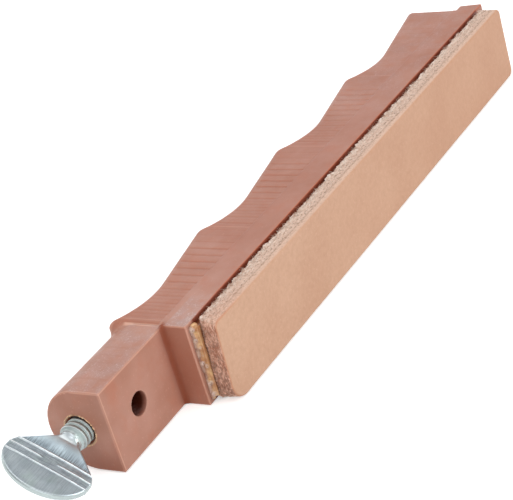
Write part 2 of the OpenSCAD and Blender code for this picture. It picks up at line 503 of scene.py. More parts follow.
def leather_distance(p):
    x, y, z = p.T
    near = x < (PAD_LOW[0] + PAD_HIGH[0]) / 2
    low = z < 0
    # The near end's corners are rounded more on the grain side.
    grainward = np.clip((PAD_HIGH[1] - y) / PAD_THICK, 0, 1)
    near_low_r = CORNER_R["near_low"] + NEAR_LOW_TRIM * grainward
    near_high_r = CORNER_R["near_high"] * (0.4 + 0.6 * grainward)
    near_r = np.where(low, near_low_r, near_high_r)
    far_r = np.where(low, CORNER_R["far_low"], CORNER_R["far_high"])
    near_end = (near_end_x(y, z) - x) / math.hypot(1, END_SLANT)
    ends = np.where(near, near_end, x - PAD_HIGH[0] - FAR_PROUD)
    plan = meet(ends, np.maximum(z - HALF, -z - HALF + FLOOR_ROOM), np.where(near, near_r, far_r))
    return meet(meet(plan, PAD_LOW[1] - y, GRAIN_EDGE_R), y - PAD_HIGH[1], FLESH_EDGE_R)


def build_leather():
    step = (0.15, 0.13, 0.15)
    points, quads = surface_net(leather_distance, PAD_LOW, PAD_HIGH, step)
    points = settle(leather_distance, points, 0.08)
    normals = unit(gradient(leather_distance, points, 0.06))
    grain = ease(-normals[:, 1], 0.35, 0.9)
    flesh = ease(normals[:, 1], 0.5, 0.95)
    cut = (1 - grain) * (1 - flesh)
    depth = (points[:, 1] - PAD_LOW[1]) / PAD_THICK
    end = ease(np.abs(normals[:, 0]), 0.5, 0.9)

    # The cut faces are stringy and the ends clumpy, and they get looser towards the flesh side.
    loose = ease(depth, 0.25, 0.9)
    strand = noise(points, (0.75, 0.16, 0.45), 11) + 0.6 * noise(points, (0.3, 0.09, 0.2), 12)
    clump = noise(points, 0.36, 19) + 0.8 * noise(points, 0.22, 20)
    lift = cut * (0.02 + 0.045 * loose) * strand + cut * end * (0.03 + 0.05 * loose) * clump
    fray = np.abs(noise(points, (0.4, 0.5, 0.4), 13)) * noise(points, (0.17, 0.2, 0.17), 14)
    rag = ease(depth, 0.62, 1.0) * (0.3 * fray + 0.12 * noise(points, (0.9, 0.7, 0.9), 21))
    lift += cut * rag
    lift += cut * 0.05 * noise(points, (6, 3, 4), 15)
    # The grain side is nearly flat, and the flesh side rough.
    lift += grain * (0.03 * noise(points, (14, 5, 9), 16) + 0.008 * noise(points, 1.1, 17))
    lift += flesh * 0.05 * noise(points, 0.35, 18)
    # Little stands out at the glue line, and underneath there is only the floor's room.
    room = np.where(np.abs(points[:, 1] - PAD_HIGH[1]) < 0.3, 0.0, 0.04)
    lift = np.minimum(lift, cut * MOST_FUZZ + room)
    lift = np.minimum(lift, MOST_FUZZ - 0.2 * ease(-normals[:, 2], 0.2, 0.8))
    points = points + normals * lift[:, None]
    # Loose fuzz hangs over the glue line along the sides.
    fuzz = noise(points, (1.1, 2, 0.7), 22) + 0.6 * noise(points, (0.4, 2, 0.4), 23)
    side = ease(np.abs(points[:, 2]), HALF - 0.6, HALF - 0.25) * ease(depth, 0.7, 1.0)
    points[:, 1] += 0.6 * np.clip(fuzz, 0, 1.1) * side

    # The grain side's rim is darker at the near end, and the cut sides darken towards that end.
    x, z = points[:, 0], points[:, 2]
    rim = ease(-normals[:, 1], 0.05, 0.5) * (1 - ease(-normals[:, 1], 0.75, 0.995))
    rim = rim * (0.3 + 0.7 * ease(-x, -PAD_LOW[0] - 9, -PAD_LOW[0] - 1.5))
    end = np.maximum(end, 0.55 * ease(-x, -24, -11))
    # Painted shade for the cut ends: dark in the hollows between clumps and darker towards the bottom.
    pit = np.clip(0.5 - clump / 1.4 + 0.45 * ease(-z, 0, 5), 0, 1)
    marks = {"grain": grain, "depth": depth, "end": end, "rim": rim, "pit": pit}
    return make_object("leather_strip", points, quads, marks)


FIBRE_COUNTS = {"top": 2600, "bottom": 2200, "near": 420, "far": 380}
FIBRE_STEPS = 6
FLOOR_FUZZ = 0.06


def fibre_roots(rng, count, face):
    """Random points on a cut face near the flesh side, with the ways out of and along that face."""
    high_y = PAD_HIGH[1] - np.abs(rng.normal(0, 0.5, count)).clip(0, 2.2)
    if face in ("top", "bottom"):
        sign = 1 if face == "top" else -1
        x = rng.uniform(near_end_x(PAD_HIGH[1], 0) + 0.3, PAD_HIGH[0] - 0.3, count)
        roots = np.stack([x, high_y, np.full(count, sign * (HALF - 0.05))], 1)
        return roots, np.array([0, 0, sign]), np.array([1.0, 0, 0])
    z = rng.uniform(-HALF + 1.2, HALF - 1, count)
    if face == "near":
        x, sign = near_end_x(high_y, z) + 0.05, -1
    else:
        x, sign = np.full(count, PAD_HIGH[0] + FAR_PROUD - 0.05), 1
    return np.stack([x, high_y, z], 1), np.array([sign, 0, 0]), np.array([0, 0, 1.0])


def face_fibres(rng, face, count):
    """The loose fibres of one cut face, which lean and curl at random but stay near the strip."""
    roots, out, along = fibre_roots(rng, count, face)
    roots = settle(leather_distance, roots, 0.6, 6)
    length = rng.gamma(3.0, 0.11, count).clip(0.12, 0.95)
    lean = rng.normal(0, 1.0, count)
    outward = rng.uniform(0.1, 0.5, count)
    rise = rng.normal(0.35, 0.5, count)
    heading = outward[:, None] * out + lean[:, None] * along + rise[:, None] * np.array([0, 1.0, 0])
    heading /= np.linalg.norm(heading, axis=1, keepdims=True)
    curl = rng.normal(0, 0.5, (count, 3))
    t = np.linspace(0, 1, FIBRE_STEPS)[None, :, None]
    paths = length[:, None, None] * (heading[:, None, :] * t + curl[:, None, :] * t * t * 0.5)
    to_flange = FLANGE_Y - 0.05 - roots[:, 1]
    paths[:, :, 1] = np.minimum(paths[:, :, 1], to_flange[:, None])
    reach = paths @ out
    furthest = FLOOR_FUZZ if face == "bottom" else MOST_FUZZ
    paths += (np.clip(reach, 0.02, furthest) - reach)[:, :, None] * out
    return fibre_tubes(roots, paths, rng.uniform(0.022, 0.04, count))


def build_fibres():
    rng = np.random.default_rng(5)
    all_points, all_quads, all_caps, shift = [], [], [], 0
    for face, count in FIBRE_COUNTS.items():
        points, quads, caps = face_fibres(rng, face, count)
        all_points.append(points)
        all_quads.append(quads + shift)
        all_caps.append(caps + shift)
        shift += len(points)
    points = np.concatenate(all_points)
    quads = np.concatenate(all_quads)
    caps = np.concatenate(all_caps)
    triangles = np.concatenate([quads[:, :3], quads[:, [0, 2, 3]], caps])
    per_fibre = 3 * FIBRE_STEPS
    shade = np.repeat(rng.uniform(0, 1, len(points) // per_fibre), per_fibre)
    shade = shade * (0.35 + 0.65 * ease(points[:, 0], PAD_LOW[0] + 1.5, PAD_LOW[0] + 6))
    return make_object("leather_fibres", points, triangles, {"shade": shade})


# -------- glue

GLUE_RECESS = 0.5
GLUE_OVERLAP = 0.03
BEAD_SLOPE = 0.62
BEAD_HEIGHT = 0.92
BUBBLE_COUNT = 9


def bubble_spots():
    """Centres and radii of the bubbles in the glue that is squeezed out on the flange's face."""
    rng = np.random.default_rng(21)
    z = np.linspace(-HALF + 1.2, HALF - 1.0, BUBBLE_COUNT) + rng.normal(0, 0.4, BUBBLE_COUNT)
    x = GLUE_LOW[0] + rng.uniform(0.15, 0.75, BUBBLE_COUNT)
    r = rng.uniform(0.16, 0.42, BUBBLE_COUNT)
    y = FLANGE_Y - 0.2 - 0.4 * (x - GLUE_LOW[0])
    return np.stack([x, y, z], 1), r


BUBBLES, BUBBLE_R = bubble_spots()


def flesh_end_x(z):
    """Where the leather's near end meets the glue."""
    return near_end_x(PAD_HIGH[1], z)


def glue_distance(p):
    """An uneven layer that stops short of the leather's sides, and a bubbly bead at its near end."""
    x, y, z = p.T
    creep = 0.1 * noise(p, (2.2, 9, 9), 32) + 0.07 * noise(p, (0.7, 9, 9), 33)
    sides = np.abs(z) - GLUE_HIGH[2] + GLUE_RECESS - creep
    layer = meet(sides, np.maximum(GLUE_LOW[0] + 0.6 - x, x - GLUE_HIGH[0] - 0.3 * creep), 0.3)
    layer = np.maximum(layer, slab(y, GLUE_LOW[1] - GLUE_OVERLAP, GLUE_HIGH[1] + GLUE_OVERLAP))

    wander = 0.12 * noise(p, (9, 9, 1.4), 31)
    gap = flesh_end_x(z) - x
    height = 0.2 + BEAD_SLOPE * (x - GLUE_LOW[0]) + 0.15 * noise(p, (0.7, 9, 0.8), 35)
    height = np.minimum(height, BEAD_HEIGHT) * ease(gap, 0.02, 0.4)
    bead = meet(GLUE_LOW[0] + wander - x, FLANGE_Y - height - y, 0.2) * 0.85
    bead = np.maximum(bead, y - FLANGE_Y - GLUE_OVERLAP)
    bead = meet(bead, np.abs(z) - GLUE_HIGH[2] + 0.05 - creep, 0.35)
    body = np.minimum(layer, np.maximum(bead, -gap))
    for centre, r in zip(BUBBLES, BUBBLE_R):
        ball = np.linalg.norm(p - centre, axis=1) - r
        body = join(body, ball, 0.07)
        pit = np.linalg.norm(p - centre + np.array([0.55, 0.85, 0]) * r, axis=1) - r * 0.42
        body = meet(body, -pit, 0.03)
    return np.maximum(body, y - FLANGE_Y - GLUE_OVERLAP)


def build_glue():
    low, high = GLUE_LOW - [0.5, 0.3, 0.3], GLUE_HIGH + [0.3, 0.05, 0.3]
    points, quads = surface_net(glue_distance, low, high, (0.13, 0.1, 0.13))
    points = settle(glue_distance, points, 0.06)
    normals = unit(gradient(glue_distance, points, 0.05))
    in_radii = [np.linalg.norm(points - c, axis=1) / r for c, r in zip(BUBBLES, BUBBLE_R)]
    bubble = bell(np.min(in_radii, axis=0) - 1.0, 0.22)
    from_edge = points[:, 0] - GLUE_LOW[0]
    gap = flesh_end_x(points[:, 2]) - points[:, 0]
    milky = (1 - ease(from_edge + 0.25 * noise(points, 0.7, 36), 0.15, 0.5)) * ease(gap, 0.2, 0.5)
    # Painted shade in the crevice where the glue meets the leather's end.
    dark = 1 - ease(gap + 0.1 * noise(points, (9, 9, 1), 37), 0.06, 0.42)
    marks = {"bubble": bubble * ease(gap, 0.2, 0.5), "milky": milky, "dark": dark}
    points = points + normals * (0.02 * noise(points, 0.45, 34))[:, None]
    return make_object("glue_layer", points, quads, marks)


# -------- thumb screw

# Lengths along the screw are distances out from the head's end face.
SPADE_TURN = math.radians(28)
SPADE_CENTRE = 8.0
SPADE_HALF_WIDTH = 6.5
SPADE_OUT = 4.6
SPADE_IN = 6.0
SPADE_THICK = 1.25
FLARE_START = 3.35
FLARE_HALF_WIDTH = 2.05
FLARE_SLOPE = 1.38
RIDGES = (6.2, 7.35, 8.6)
RIDGE_HEIGHT = 0.14
RIDGE_WIDTH = 0.11
NECK_R = 1.62
ROOT_THICKENING = 0.42
RIM_THINNING = 0.12
CHANNEL_DEPTH = 0.06
THREAD_OUT = 2.25


def thread_radius(x, angle):
    """Radius of a real helical thread, with flat crests and rounded flanks."""
    turns = (x - TIP_LOW[0]) / PITCH - angle / (2 * math.pi)
    off = np.abs(turns - np.round(turns)) * 2
    flank = np.clip((0.94 - off) / 0.78, 0, 1)
    flank = ease(flank, -0.12, 1.12)
    return ROOT_R + (THREAD_R - ROOT_R) * (flank - ease(np.zeros(1), -0.12, 1.12)) / 0.97


def spade_outline(out, across):
    """Distance to the spade's outline: an oval, cut to a V where it runs in to the neck."""
    from_centre = out - SPADE_CENTRE
    axial = np.where(from_centre > 0, SPADE_OUT, SPADE_IN)
    k0 = np.hypot(from_centre / axial, across / SPADE_HALF_WIDTH)
    k1 = np.hypot(from_centre / axial ** 2, across / SPADE_HALF_WIDTH ** 2)
    oval = k0 * (k0 - 1) / np.maximum(k1, 1e-6)
    flare = np.abs(across) - FLARE_HALF_WIDTH - FLARE_SLOPE * (out - FLARE_START)
    flare = flare / math.hypot(1, FLARE_SLOPE)
    return meet(oval, flare, 0.6)


def screw_distance(p):
    """The screw before it is turned: X along it, Y across the spade and Z through its thickness."""
    x, across, through = p.T
    out = END_X - x
    outline = spade_outline(out, across)

    # The spade is thicker next to the neck.
    face = np.abs(through) - SPADE_THICK / 2 - ROOT_THICKENING * (1 - ease(out, 3.2, 6.1))
    relief = np.zeros(len(p))
    for i, spot in enumerate(RIDGES):
        # The middle ridge is broken in the middle of the spade.
        strength = ease(np.abs(across), 0.9, 1.8) if i == 1 else 1.0
        relief = relief + RIDGE_HEIGHT * strength * bell(out - spot, RIDGE_WIDTH)
    channel = ease(out, RIDGES[0], RIDGES[0] + 0.2) * (1 - ease(out, RIDGES[2] - 0.2, RIDGES[2]))
    face = face - relief + CHANNEL_DEPTH * channel
    # The blade thins a little towards its rim.
    face = face + RIM_THINNING * ease(outline, -2.2, -0.2)
    blade = meet(outline, face, 0.3)

    # The round neck widens and flattens into the blade.
    share = ease(out, 2.3, 4.1)
    wide = NECK_R + 0.7 * ease(out, 2.4, 4.0)
    thick = NECK_R * (1 - share) + 0.12 * share
    neck = (np.hypot(across / wide, through / thick) - 1) * np.minimum(wide, thick)
    neck = meet(neck, slab(out, THREAD_OUT - 0.6, 5.0), 0.2)
    blade = join(blade, neck, 0.4)

    radial = np.hypot(across, through)
    angle = np.arctan2(through, across)
    top = thread_radius(x, angle)
    run_out = ease(out, THREAD_OUT - 0.5, THREAD_OUT + 0.1)
    top = top * (1 - run_out) + 1.6 * run_out
    shank = meet((radial - top) * 0.8, slab(x, END_X - THREAD_OUT - 0.25, TIP_LOW[0]), 0.08)
    return join(blade, shank, 0.12)


def build_screw():
    low = np.array([SCREW_LOW[0] - 0.2, -SPADE_HALF_WIDTH - 0.2, -THREAD_R - 0.2])
    high = np.array([SCREW_HIGH[0] + 0.2, SPADE_HALF_WIDTH + 0.2, THREAD_R + 0.2])
    points, quads = surface_net(screw_distance, low, high, (0.075, 0.11, 0.08))
    points = settle(screw_distance, points, 0.04)
    normals = unit(gradient(screw_distance, points, 0.02))
    edge, hollow = edge_and_hollow(screw_distance, points, normals, 0.2)
    out = END_X - points[:, 0]
    points = points + normals * (0.006 * noise(points, 0.8, 41))[:, None]
    rim = ease(spade_outline(out, points[:, 1]), -0.2, -0.03) * ease(out, 5.5, 7)
    marks = {"edge": edge, "hollow": hollow, "out": out, "across": points[:, 1], "rim": rim}
    points, normals = turn_about_x(points, SPADE_TURN), turn_about_x(normals, SPADE_TURN)
    return make_object("thumb_screw_spade", points, quads, marks, normals)


def build_screw_point():
    """The plain end of the screw: a turned shape with a chamfer and a slightly dished end."""
    r, x0, x1 = TIP_HIGH[2], TIP_LOW[0], TIP_HIGH[0]
    outline = [(x0, 0.02), (x0, 1.2), (x0 + 0.02, r - 0.03), (x0 + 0.06, r), (x0 + 0.45, r),
               (x1 - 0.34, r), (x1 - 0.29, r - 0.02), (x1 - 0.05, r - 0.27), (x1 - 0.01, r - 0.33),
               (x1, r - 0.4), (x1 - 0.04, 0.6), (x1 - 0.06, 0.02)]
    sides = 48
    angles = np.arange(sides) * 2 * math.pi / sides
    rings = [np.stack([np.full(sides, x), radius * np.cos(angles), radius * np.sin(angles)], 1)
             for x, radius in outline]
    points = np.concatenate(rings)
    quads = []
    for ring in range(len(outline) - 1):
        a = ring * sides + np.arange(sides)
        b = ring * sides + (np.arange(sides) + 1) % sides
        quads.append(np.stack([a, b, b + sides, a + sides], 1))
    near, far = len(points), len(points) + 1
    points = np.concatenate([points, [[x0, 0, 0], [x1 - 0.06, 0, 0]]])
    k = np.arange(sides)
    last = (len(outline) - 1) * sides
    caps = np.concatenate([np.stack([np.full(sides, near), (k + 1) % sides, k], 1),
                           np.stack([np.full(sides, far), last + k, last + (k + 1) % sides], 1)])
    quads = np.concatenate(quads)
    triangles = np.concatenate([quads[:, :3], quads[:, [0, 2, 3]], caps])
    marks = {key: np.zeros(len(points)) for key in ("edge", "hollow", "out", "across", "rim")}
    return make_object("thumb_screw_point", points, triangles, marks)


# -------- materials

def rgb(*screen):
    """Linear colour from the usual screen values, 0 to 255 and all above 10."""
    return (*[((c / 255 + 0.055) / 1.055) ** 2.4 for c in screen], 1.0)


class Shader:
    """A node material with short calls for its parts."""

    def __init__(self, name):
        self.material = bpy.data.materials.new(name)
        self.material.use_nodes = True
        self.tree = self.material.node_tree
        self.surface = self.tree.nodes["Principled BSDF"]
        self.place = self.node("ShaderNodeTexCoord").outputs["Object"]

    def node(self, kind, **settings):
        made = self.tree.nodes.new(kind)
        for key, value in settings.items():
            setattr(made, key, value)
        return made

    def feed(self, socket, value):
        if isinstance(value, bpy.types.NodeSocket):
            self.tree.links.new(value, socket)
        else:
            socket.default_value = value

    def set(self, **inputs):
        for key, value in inputs.items():
            self.feed(self.surface.inputs[key.replace("_", " ")], value)

    def math(self, operation, a, b):
        made = self.node("ShaderNodeMath", operation=operation)
        self.feed(made.inputs[0], a)
        self.feed(made.inputs[1], b)
        return made.outputs[0]

    def times(self, a, b):
        return self.math("MULTIPLY", a, b)

    def plus(self, a, b):
        return self.math("ADD", a, b)

    def mix(self, share, a, b):
        """The colour a where the share is 0, and b where it is 1."""
        made = self.node("ShaderNodeMix", data_type="RGBA")
        self.feed(made.inputs[0], share)
        self.feed(made.inputs[6], a)
        self.feed(made.inputs[7], b)
        return made.outputs[2]

    def mark(self, name):
        return self.node("ShaderNodeAttribute", attribute_name=name).outputs["Fac"]

    def stretched(self, scale):
        made = self.node("ShaderNodeMapping")
        made.inputs["Scale"].default_value = scale
        self.feed(made.inputs["Vector"], self.place)
        return made.outputs["Vector"]

    def noise(self, per_mm, detail=3.0, roughness=0.55, stretch=None):
        """Noise from 0 to 1 with `per_mm` features in a millimetre."""
        made = self.node("ShaderNodeTexNoise")
        self.feed(made.inputs["Vector"], self.stretched(stretch) if stretch else self.place)
        made.inputs["Scale"].default_value = per_mm / MM
        made.inputs["Detail"].default_value = detail
        made.inputs["Roughness"].default_value = roughness
        return made.outputs["Fac"]

    def noise_on(self, fine_attribute, long_attribute, per_mm, stretch):
        """Streaky noise on two of the mesh's own measures, drawn out along the second."""
        spot = self.node("ShaderNodeCombineXYZ")
        self.feed(spot.inputs[0], self.mark(fine_attribute))
        self.feed(spot.inputs[1], self.times(self.mark(long_attribute), stretch))
        made = self.node("ShaderNodeTexNoise")
        self.feed(made.inputs["Vector"], spot.outputs[0])
        made.inputs["Scale"].default_value = per_mm
        made.inputs["Detail"].default_value = 3.0
        made.inputs["Roughness"].default_value = 0.6
        return made.outputs["Fac"]

    def cells(self, per_mm):
        """Distance to the middle of the nearest of `per_mm` cells in a millimetre."""
        made = self.node("ShaderNodeTexVoronoi")
        self.feed(made.inputs["Vector"], self.place)
        made.inputs["Scale"].default_value = per_mm / MM
        return made.outputs["Distance"]

    def ramp(self, value, low, high, a=0.0, b=1.0):
        """Goes from a to b as the value goes from low to high, and stays there on either side."""
        made = self.node("ShaderNodeMapRange", clamp=True)
        for socket, v in zip(made.inputs, (value, low, high, a, b)):
            self.feed(socket, v)
        return made.outputs[0]

    def along(self, axis, vector=None):
        """One axis of a vector, or of the place on the piece, in metres."""
        split = self.node("ShaderNodeSeparateXYZ")
        self.feed(split.inputs[0], vector or self.place)
        return split.outputs[axis]

    def normal_z(self):
        return self.along("Z", self.node("ShaderNodeNewGeometry").outputs["Normal"])

    def bump(self, height, distance_mm, strength):
        made = self.node("ShaderNodeBump")
        made.inputs["Distance"].default_value = distance_mm * MM
        made.inputs["Strength"].default_value = strength
        self.feed(made.inputs["Height"], height)
        self.feed(self.surface.inputs["Normal"], made.outputs["Normal"])


def plastic():
    """Red-brown plastic, cloudy and streaky, with a painted highlight along the edges and painted
    shade in the hollows.
    """
    s = Shader("moulded_plastic")
    cloud = s.noise(0.11, 3)
    body = s.mix(s.ramp(cloud, 0.35, 0.7), rgb(176, 122, 102), rgb(193, 143, 126))
    streak = s.noise(0.25, 4, 0.6, (0.35, 1.6, 1.6))
    body = s.mix(s.ramp(streak, 0.5, 0.8, 0, 0.35), body, rgb(192, 136, 116))
    blush = s.noise(0.32, 4, 0.6, (1.0, 1.0, 0.6))
    body = s.mix(s.ramp(blush, 0.5, 0.74, 0, 0.42), body, rgb(190, 114, 86))
    body = s.mix(s.ramp(s.noise(2.2, 2, 0.7), 0.62, 0.72, 0, 0.3), body, rgb(214, 166, 148))
    # Painted shade: the hollows darken, the ribbed parts go redder and darker in their creases, and
    # the corner mark gives the darkest shade.
    body = s.mix(s.ramp(s.mark("hollow"), 0.0, 1.0, 0, 0.5), body, rgb(126, 66, 48))
    body = s.mix(s.times(s.mark("ribbed"), 0.5), body, rgb(166, 98, 72))
    body = s.mix(s.times(s.mark("corner"), 0.66), body, rgb(122, 46, 20))
    # A painted highlight makes the edges pale, and reddish on the parts marked warm.
    edge_highlight = s.mix(s.mark("warm"), rgb(236, 188, 166), rgb(212, 112, 74))
    edge = s.ramp(s.mark("edge"), 0.15, 0.9)
    body = s.mix(s.times(edge, s.ramp(s.mark("warm"), 0, 1, 0.6, 0.9)), body, edge_highlight)
    # Painted shade in the slot beside the glue and inside the holes, and a painted highlight on the
    # lip of the screw hole.
    slot_shade = s.times(s.mark("slot_shade"), s.ramp(s.noise(1.2, 3), 0.3, 0.6, 0.75, 0.95))
    body = s.mix(slot_shade, body, rgb(124, 52, 28))
    body = s.mix(s.times(s.mark("dark"), 0.97), body, rgb(82, 32, 18))
    body = s.mix(s.mark("ring"), body, rgb(255, 214, 166))
    # A painted sheen on the upward faces, mostly near the head, with fine pale specks in it.
    sheen_and_specks = s.times(s.ramp(s.normal_z(), 0.6, 0.95), s.mark("sheen_and_specks"))
    patch = s.times(sheen_and_specks, s.ramp(s.noise(0.3, 3), 0.38, 0.62))
    specks = s.ramp(s.noise(3.4, 2, 0.75), 0.56, 0.68)
    body = s.mix(s.times(patch, 0.75), body, rgb(180, 153, 149))
    body = s.mix(s.times(specks, patch), body, rgb(222, 200, 194))
    rough = s.ramp(s.noise(0.8, 4), 0.3, 0.7, 0.38, 0.5)
    s.set(Base_Color=body, Roughness=rough, Subsurface_Weight=0.12, Subsurface_Scale=0.8 * MM)
    # Where the painted shade is, the specular fades out too.
    shaded_places = s.math("MAXIMUM", s.mark("corner"), s.mark("dark"))
    s.set(Specular_IOR_Level=s.ramp(shaded_places, 0.2, 0.8, 0.28, 0.0))
    s.surface.inputs["Subsurface Radius"].default_value = (1.0, 0.45, 0.3)
    grit = s.plus(s.times(s.noise(2.6, 4), 0.6), s.times(s.noise(9, 2), 0.4))
    s.bump(grit, 0.02, 0.5)
    return s.material


def leather():
    """A smooth, mottled and pored grain side, and pale fibrous cut faces."""
    s = Shader("leather")
    tone = s.noise(0.09, 4)
    top = s.mix(s.ramp(tone, 0.3, 0.75), rgb(204, 157, 127), rgb(215, 171, 141))
    fine = s.noise(1.3, 5, 0.65)
    top = s.mix(s.ramp(fine, 0.35, 0.75, 0, 0.4), top, rgb(184, 132, 102))
    top = s.mix(s.ramp(s.noise(2.4, 3, 0.7), 0.55, 0.75, 0, 0.4), top, rgb(228, 190, 164))
    # The strip is a little browner towards its far end.
    top = s.mix(s.ramp(s.along("X"), 0.03, PAD_HIGH[0] * MM, 0, 0.4), top, rgb(202, 144, 108))
    pores = s.ramp(s.cells(1.9), 0.02, 0.16, 1.0, 0.0)
    top = s.mix(s.times(pores, 0.18), top, rgb(158, 104, 80))

    # Cut sides: pale fibres with dark flecks and white tufts, smoother next to the grain side.
    depth = s.mark("depth")
    fibres = s.noise(1.6, 5, 0.75, (0.7, 1.8, 1.0))
    cut = s.mix(s.ramp(fibres, 0.3, 0.75), rgb(198, 160, 138), rgb(234, 206, 188))
    flecks = s.ramp(s.noise(2.4, 3, 0.7, (0.7, 1.1, 0.7)), 0.52, 0.64)
    cut = s.mix(s.times(flecks, 0.85), cut, rgb(140, 104, 80))
    tufts = s.ramp(s.noise(3.2, 3, 0.75, (0.6, 1.2, 0.8)), 0.55, 0.68)
    cut = s.mix(s.times(tufts, s.ramp(depth, 0.3, 0.9, 0.4, 0.9)), cut, rgb(250, 238, 228))
    smooth_band = s.ramp(depth, 0.14, 0.34, 0.7, 0.0)
    cut = s.mix(smooth_band, cut, rgb(222, 184, 160))
    seam = s.times(s.ramp(depth, 0.26, 0.32), s.ramp(depth, 0.34, 0.42, 0.4, 0.0))
    cut = s.mix(seam, cut, rgb(166, 122, 96))
    # Cut ends: redder, with pale threads, and painted shade in the pits between them, deeper towards
    # the bottom.
    threads = s.noise(2.4, 4, 0.7, (1.0, 1.5, 0.7))
    threads = s.plus(threads, s.ramp(s.noise(0.45, 2), 0.3, 0.7, -0.07, 0.07))
    ends = s.mix(s.ramp(threads, 0.38, 0.66), rgb(168, 104, 76), rgb(250, 206, 182))
    ends = s.mix(s.ramp(s.mark("pit"), 0.55, 1.0, 0, 0.55), ends, rgb(112, 66, 48))
    cut = s.mix(s.times(s.mark("end"), 0.9), cut, ends)
    # The nap stands up palest along the sides' flesh edge.
    on_side = s.ramp(s.mark("end"), 0.56, 0.8, 1.0, 0.0)
    nap = s.times(s.ramp(depth, 0.66, 0.9, 0, 0.7), s.ramp(fibres, 0.36, 0.56))
    cut = s.mix(s.times(nap, on_side), cut, rgb(248, 234, 222))
    colour = s.mix(s.mark("grain"), cut, top)
    colour = s.mix(s.times(s.mark("rim"), 0.55), colour, rgb(196, 124, 88))

    rough = s.ramp(s.mark("grain"), 0.0, 1.0, 0.92, 0.56)
    s.set(Base_Color=colour, Roughness=rough, Sheen_Weight=0.12, Sheen_Roughness=0.5)
    skin = s.plus(s.times(s.cells(1.5), 0.7), s.times(s.noise(3.2, 4), 0.5))
    rag = s.times(fibres, 3.0)
    height = s.plus(s.times(skin, s.mark("grain")),
                    s.times(rag, s.math("SUBTRACT", 1.0, s.mark("grain"))))
    s.bump(height, 0.03, 0.55)
    return s.material


def fibre():
    s = Shader("leather_fibre")
    shade = s.mark("shade")
    colour = s.mix(shade, rgb(202, 150, 122), rgb(238, 222, 206))
    colour = s.mix(s.ramp(s.noise(1.2, 2), 0.4, 0.7, 0, 0.4), colour, rgb(170, 134, 108))
    s.set(Base_Color=colour, Roughness=0.8, Sheen_Weight=0.3)
    return s.material


def glue():
    """Amber glue: milky at its edge, pale round the bubbles, with painted shade where it meets the
    leather.
    """
    s = Shader("adhesive")
    cloud = s.noise(1.1, 4)
    colour = s.mix(s.ramp(cloud, 0.35, 0.7), rgb(186, 128, 84), rgb(230, 190, 140))
    clear = s.mix(s.ramp(cloud, 0.38, 0.62), rgb(140, 92, 74), rgb(186, 152, 134))
    colour = s.mix(s.mark("milky"), colour, clear)
    colour = s.mix(s.times(s.mark("bubble"), 0.6), colour, rgb(222, 200, 186))
    # Painted shade against the leather.
    colour = s.mix(s.times(s.mark("dark"), 0.95), colour, rgb(126, 64, 34))
    s.set(Base_Color=colour, Roughness=0.36, Coat_Weight=0.15)
    s.set(Subsurface_Weight=0.2, Subsurface_Scale=0.4 * MM)
    s.surface.inputs["Subsurface Radius"].default_value = (1.0, 0.6, 0.25)
    s.bump(s.noise(2.0, 4), 0.06, 0.6)
    return s.material


def zinc():
    """Cloudy bright zinc with drawing marks, dull on the thread, with painted shade in the hollows and
    a painted highlight along the edges.
    """
    s = Shader("zinc_plated_steel")
    cloud = s.noise(0.35, 4)
    colour = s.mix(s.ramp(cloud, 0.35, 0.7), rgb(196, 206, 212), rgb(220, 228, 232))
    tint = s.ramp(s.noise(0.5, 2), 0.5, 0.75, 0, 0.5)
    colour = s.mix(tint, colour, rgb(190, 210, 198))
    # Fine marks run out from the neck and stop at the first ridge.
    marks = s.noise_on("across", "out", 5.5, 0.06)
    out = s.mark("out")
    blade = s.times(s.ramp(out, 3.6, 4.6), s.ramp(out, 5.9, 6.3, 1.0, 0.25))
    colour = s.mix(s.times(blade, 0.7), colour, rgb(204, 226, 239))
    teeth = s.times(s.ramp(marks, 0.46, 0.6), s.times(blade, s.ramp(out, 4.4, 6.0)))
    colour = s.mix(s.times(teeth, 0.75), colour, rgb(96, 110, 122))
    # Others run along the ridges, in the channel between them.
    drag = s.noise_on("out", "across", 3.4, 0.16)
    channel = s.times(s.ramp(out, 6.1, 6.4), s.ramp(out, 8.4, 9.2, 1.0, 0.1))
    dragged = s.times(s.ramp(drag, 0.44, 0.62), s.times(channel, 0.55))
    colour = s.mix(dragged, colour, rgb(142, 152, 164))
    shank = s.ramp(out, 2.0, 2.6, 1.0, 0.0)
    colour = s.mix(s.times(shank, 0.75), colour, rgb(150, 163, 161))
    # Painted shade in the hollows.
    colour = s.mix(s.ramp(s.mark("hollow"), 0.1, 0.9, 0, 0.25), colour, rgb(96, 104, 104))
    colour = s.mix(s.times(s.mark("rim"), 0.85), colour, rgb(168, 179, 178))
    # A painted highlight brightens the edges, unevenly round the rim.
    edge_glint = s.ramp(s.mark("edge"), 0.2, 0.9, 0, 0.9)
    line = s.ramp(s.noise(0.22, 2), 0.4, 0.6, 0.35, 1.0)
    bright = s.mix(s.mark("rim"), edge_glint, s.times(line, 0.6))
    bright = s.times(bright, s.ramp(s.mark("edge"), 0.2, 0.9))
    colour = s.mix(bright, colour, rgb(250, 252, 254))
    drawn = s.noise(1.2, 4, 0.65, (0.25, 1.6, 1.6))
    rough = s.plus(s.ramp(drawn, 0.3, 0.75, 0.26, 0.42), s.times(shank, 0.2))
    s.set(Base_Color=colour, Metallic=1.0, Roughness=rough)
    height = s.plus(drawn, s.times(s.noise(5, 3), 0.5))
    s.bump(s.plus(height, s.times(marks, blade)), 0.02, 0.5)
    return s.material


# -------- assembly

def dress(thing, material, body, slot, *nodes):
    """Puts a material on a piece, and the piece on its body in place of the CAD nodes."""
    thing.data.materials.append(material)
    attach(thing, body)
    if nodes:
        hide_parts(*nodes)
    return thing


